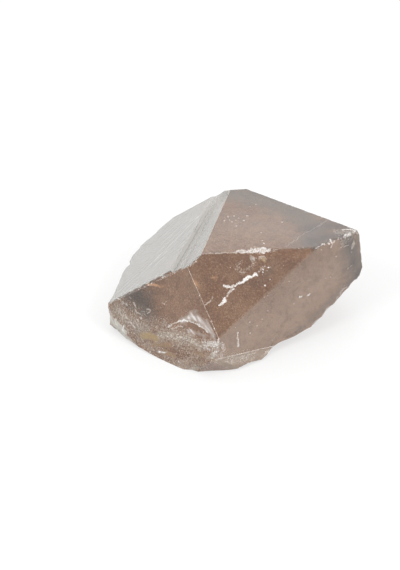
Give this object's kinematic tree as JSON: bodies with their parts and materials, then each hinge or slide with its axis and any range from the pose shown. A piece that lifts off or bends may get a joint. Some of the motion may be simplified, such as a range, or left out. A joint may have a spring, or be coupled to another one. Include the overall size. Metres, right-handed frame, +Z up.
{
  "type": "smoky quartz crystal",
  "caption": "Broken-off point of a smoky quartz crystal that lies on its broken side, with flat pyramid and prism faces, growth ledges and a rough broken base.",
  "frame": {"origin": "Centre of the bounding box in plan, on the surface the crystal lies on.", "axes": "+X runs level from the broken base towards the tip, +Y runs from the near side to the far side, +Z is up. The crystal's own long axis rises along +X."},
  "size_m": [0.078, 0.0644, 0.0319],
  "materials": {
    "smoky_quartz": "clear brown crystal, glossy growth faces, duller on the breaks"
  },
  "bodies": {
    "root": {"crystal": "smoky_quartz"}
  },
  "joints": []
}
